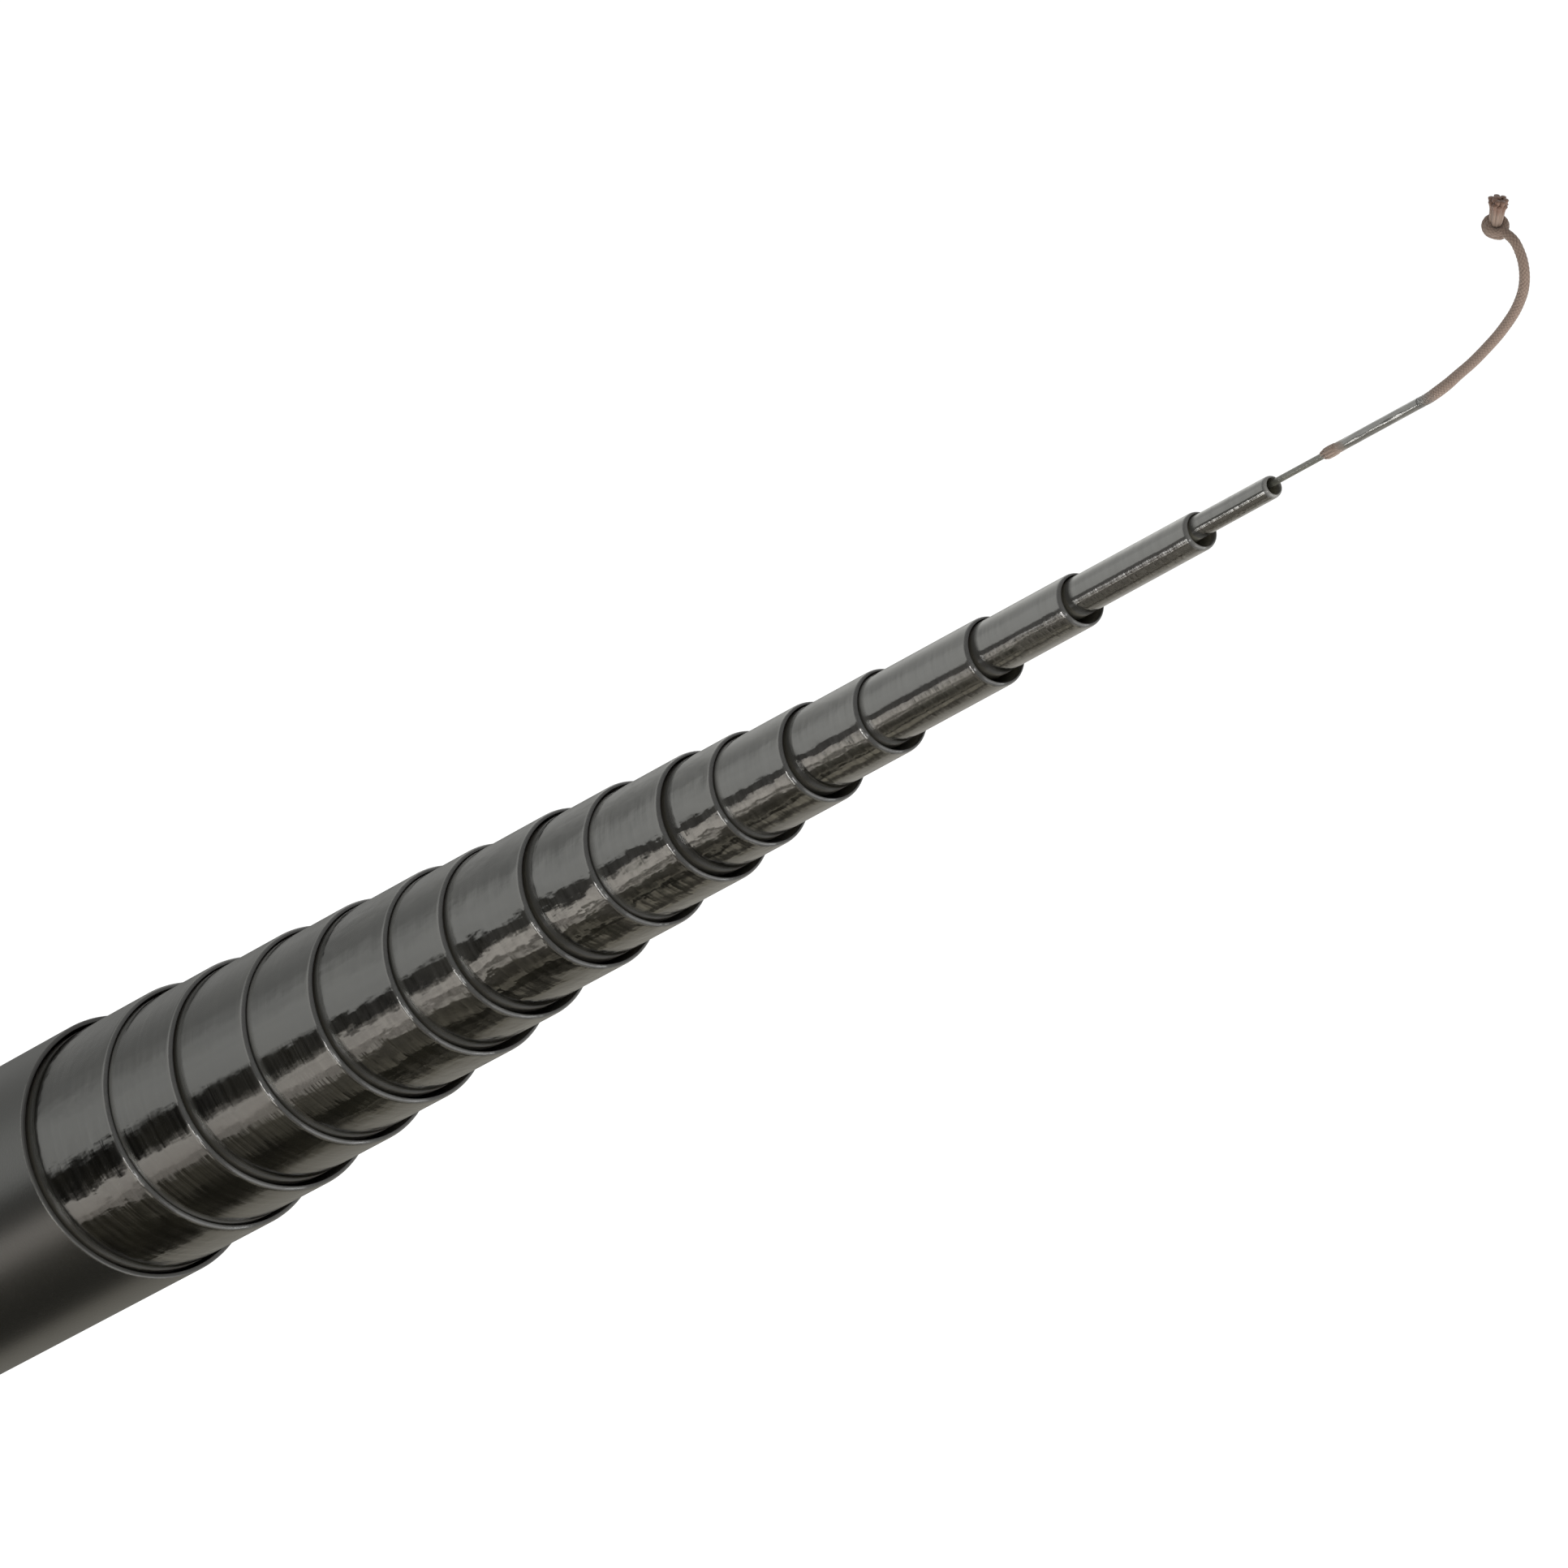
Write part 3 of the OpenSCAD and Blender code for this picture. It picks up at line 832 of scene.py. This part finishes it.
pad_shoulder = pad_high.z - pad_thickness
pad_outline = rounded(
    (vent_radius, pad_low.z, 0.2 * MM),
    (pad_plug_radius, pad_low.z, 0.5 * MM),
    (pad_plug_radius, pad_shoulder, 0.1 * MM),
    (pad_radius, pad_shoulder, 0.3 * MM),
    (pad_radius, pad_high.z, 0.6 * MM),
    (vent_radius, pad_high.z, 0.3 * MM),
)
pad = turned("foam_pad", pad_outline, foam_finish(), sides=160)
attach(pad, "shock_pad")
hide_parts("shock_pad")

# The stage: a white floor that keeps the pole's shadow and stays under the cap when that is unscrewed,
# soft lamps, and a bowl of glowing pale and dark panels round the pole, which only its glossy walls see.
floor_half = 300
bowl_foot_radius = 0.02
bowl_radius = 0.3
bowl_height = 0.5
bowl_sides = 180


def seen_directly(start):
    """1 for rays from the camera, from a mirror or through glass, and 0 for light."""
    camera_ray, glossy_ray, through_ray = (
        start.node("ShaderNodeLightPath", out=f"Is {kind} Ray")
        for kind in ("Camera", "Glossy", "Transmission")
    )
    return camera_ray.math("MAXIMUM", glossy_ray).math("MAXIMUM", through_ray)


def floor_finish():
    """White to the eye, less the pole's shadow, and pale grey to the light that it throws back."""
    material, start, _ = new_finish("white_floor")
    shadowed = start.node("ShaderNodeBsdfDiffuse", None, {"Color": (0.5, 0.5, 0.5, 1)})
    glow = start.node("ShaderNodeEmission", None, {"Color": (1, 1, 1, 1), "Strength": 0.7})
    white = start.node("ShaderNodeAddShader", None, {0: shadowed, 1: glow})
    plain = start.node("ShaderNodeBsdfDiffuse", None, {"Color": (0.75, 0.75, 0.74, 1)})
    surface = start.node("ShaderNodeMixShader", None, {0: seen_directly(start), 1: plain, 2: white})
    start.node("ShaderNodeOutputMaterial", None, {"Surface": surface})
    return material


def panels_finish():
    """Creased panels by their bearing from the front in degrees, with a few bright gaps high up."""
    material, start, place = new_finish("studio_panels")
    x, y, z = (start.node("ShaderNodeSeparateXYZ", None, {0: place}, axis) for axis in "XYZ")
    creases = start.noise(start.stretched(place, (1, 1, 0.35)), 0.03, 3.0) - 0.5
    bearing = x.math("ARCTAN2", y * -1) / math.tau + 0.5 + creases * 0.06
    brightest = 5

    def panel(*colour):
        return [c / brightest for c in colour]

    def sector(rise, full, wane, gone):
        """1 from the bearing full to wane, fading to 0 at rise and gone, in shares of a turn."""
        return bearing.between(rise, full) * bearing.between(gone, wane)

    low_panels = [
        (-180, (0.12, 0.12, 0.115)), (-160, (0.22, 0.22, 0.21)), (-140, (0.40, 0.40, 0.385)),
        (-120, (0.50, 0.50, 0.48)), (-95, (0.55, 0.555, 0.53)), (-80, (0.64, 0.645, 0.615)),
        (-60, (1.3, 1.31, 1.25)), (-40, (1.68, 1.69, 1.61)), (-16, (1.66, 1.66, 1.58)),
        (-13, (0.02, 0.02, 0.02)), (10, (0.02, 0.02, 0.02)), (14, (2.6, 2.46, 2.25)),
        (31, (2.0, 1.85, 1.67)), (37, (0.14, 0.125, 0.09)), (60, (0.03, 0.028, 0.02)),
        (105, (0.025, 0.023, 0.017)), (112, (0.5, 0.47, 0.4)), (126, (0.46, 0.435, 0.375)),
        (142, (0.38, 0.365, 0.32)), (160, (0.28, 0.27, 0.24)), (180, (0.12, 0.12, 0.115)),
    ]
    high_panels = [
        (-180, (0.2, 0.2, 0.19)), (-160, (0.5, 0.5, 0.48)), (-140, (0.95, 0.95, 0.91)),
        (-120, (1.1, 1.1, 1.05)), (-100, (1.05, 1.05, 1.0)), (-80, (1.25, 1.25, 1.2)),
        (-60, (1.75, 1.75, 1.67)), (-40, (1.92, 1.92, 1.83)), (-16, (1.98, 1.98, 1.88)),
        (-12, (0.5, 0.5, 0.48)), (3, (0.5, 0.5, 0.48)), (8, (0.95, 0.92, 0.86)), (27, (0.75, 0.71, 0.65)),
        (33, (0.4, 0.375, 0.32)), (46, (0.2, 0.185, 0.15)), (50, (0.3, 0.28, 0.23)),
        (60, (0.28, 0.26, 0.21)), (65, (0.16, 0.15, 0.12)), (80, (0.16, 0.15, 0.12)),
        (85, (0.3, 0.28, 0.23)), (96, (0.3, 0.28, 0.23)), (101, (0.3, 0.28, 0.24)),
        (108, (0.66, 0.63, 0.56)), (130, (0.7, 0.67, 0.61)), (150, (0.55, 0.53, 0.49)),
        (180, (0.2, 0.2, 0.19)),
    ]
    shades = []
    for panels in (low_panels, high_panels):
        stops = [(angle / 360 + 0.5, panel(*colour)) for angle, colour in panels]
        shades.append(start.node("ShaderNodeValToRGB", {"stops": stops}, {"Fac": bearing}))
    climb = z.between(0.28, 0.425)
    # Pale folds on the right, a haze in the dark gap at the front, and ragged splits in the light band
    drape = start.node("ShaderNodeCombineXYZ", None, {"X": bearing * 22, "Y": z * 9})
    weave = start.noise(drape, 1.0)
    folds = weave.between(0.5, 0.55) * sector(0.6, 0.62, 0.79, 0.81)
    shade = (folds * climb**0.8 * 0.9).colour((climb**2.5).colour(*shades), panel(1.3, 1.2, 0.95))
    haze = sector(0.46, 0.47, 0.52, 0.535) * z.between(0.29, 0.33)
    shade = (haze * 0.3).colour(shade, panel(0.7, 0.68, 0.62))
    band = sector(0.512, 0.53, 0.6, 0.64)
    split = (weave - (bearing - 0.556) * 1.2).between(0.43, 0.54)
    split = split.colour(panel(0.45, 0.42, 0.36), panel(3.6, 3.4, 3.04))
    shade = (band * z.between(0.3, 0.33) * z.between(0.405, 0.385) * 0.75).colour(shade, split)
    # Higher up, level slats with two bright panes in them
    slats = start.node("ShaderNodeCombineXYZ", None, {"X": bearing * 12, "Y": z * 70})
    slat = start.noise(slats, 1.0).between(0.46, 0.54)
    slat = slat.colour(panel(0.12, 0.11, 0.09), panel(1.05, 0.98, 0.84))
    slatted = z.between(0.397, 0.405) * sector(0.53, 0.54, 0.79, 0.81)
    shade = slatted.colour(shade, slat)
    pane = sector(0.52, 0.53, 0.57, 0.58) * z.between(0.4, 0.41)
    high_pane = sector(0.504, 0.512, 0.55, 0.57) * z.between(0.44, 0.444)
    shade = high_pane.colour(shade, panel(1.0, 0.98, 0.94))
    gaps = pane * start.noise(place, 0.03).between(0.57, 0.62)
    gaps = gaps + high_pane * start.noise(place, 0.015).between(0.45, 0.52) * 2.5
    strength = (1 + climb * 0.7) * (1 + gaps * 7) * brightest
    glow = start.node("ShaderNodeEmission", None, {"Color": shade, "Strength": strength})
    start.node("ShaderNodeOutputMaterial", None, {"Surface": glow})
    return material


floor_shape = bmesh.new()
bmesh.ops.create_grid(floor_shape, x_segments=1, y_segments=1, size=floor_half)
floor_mesh = bpy.data.meshes.new("floor")
floor_shape.to_mesh(floor_mesh)
floor_shape.free()
floor = placed("floor", floor_mesh, floor_finish())

bowl_shape = bmesh.new()
bmesh.ops.create_cone(
    bowl_shape, cap_ends=False, segments=bowl_sides, radius1=bowl_foot_radius, radius2=bowl_radius,
    depth=bowl_height, matrix=Matrix.Translation((0, 0, bowl_height / 2)),
)
bowl_mesh = bpy.data.meshes.new("panel_bowl")
bowl_shape.to_mesh(bowl_mesh)
bowl_shape.free()
panel_bowl = placed("panel_bowl", bowl_mesh, panels_finish())
panel_bowl.visible_camera = False
panel_bowl.visible_diffuse = False
panel_bowl.visible_shadow = False
panel_bowl.visible_transmission = False
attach(floor, "shock_pad")


def soft_lamp(name, way, distance, width, power):
    """A square soft lamp that shines at the pole's upper half from a given way."""
    lamp = bpy.data.objects.new(name, bpy.data.lights.new(name, "AREA"))
    lamp.data.size = width
    lamp.data.energy = power
    way = Vector(way).normalized()
    facing = way.to_track_quat("Z", "Y").to_matrix().to_4x4()
    lamp.matrix_world = Matrix.Translation(aim + way * distance) @ facing
    lamp.visible_camera = False
    bpy.context.scene.collection.objects.link(lamp)


soft_lamp("front_window", (0.30, -0.92, 0.25), distance=1.3, width=0.16, power=3)
soft_lamp("right_window", (0.86, 0.28, 0.42), distance=1.5, width=0.3, power=4)
soft_lamp("right_wall", (0.9, -0.2, 0.4), distance=1.6, width=1.4, power=16)

world = bpy.data.worlds.new("studio")
world.use_nodes = True
world.node_tree.nodes.clear()
sky = Wire(world.node_tree)
sky_shade = seen_directly(sky).colour((0.5, 0.5, 0.5), (1, 1, 1))
sky_glow = sky.node("ShaderNodeBackground", None, {"Color": sky_shade, "Strength": 1.0})
sky.node("ShaderNodeOutputWorld", None, {"Surface": sky_glow})
bpy.context.scene.world = world

bpy.context.view_layer.update()
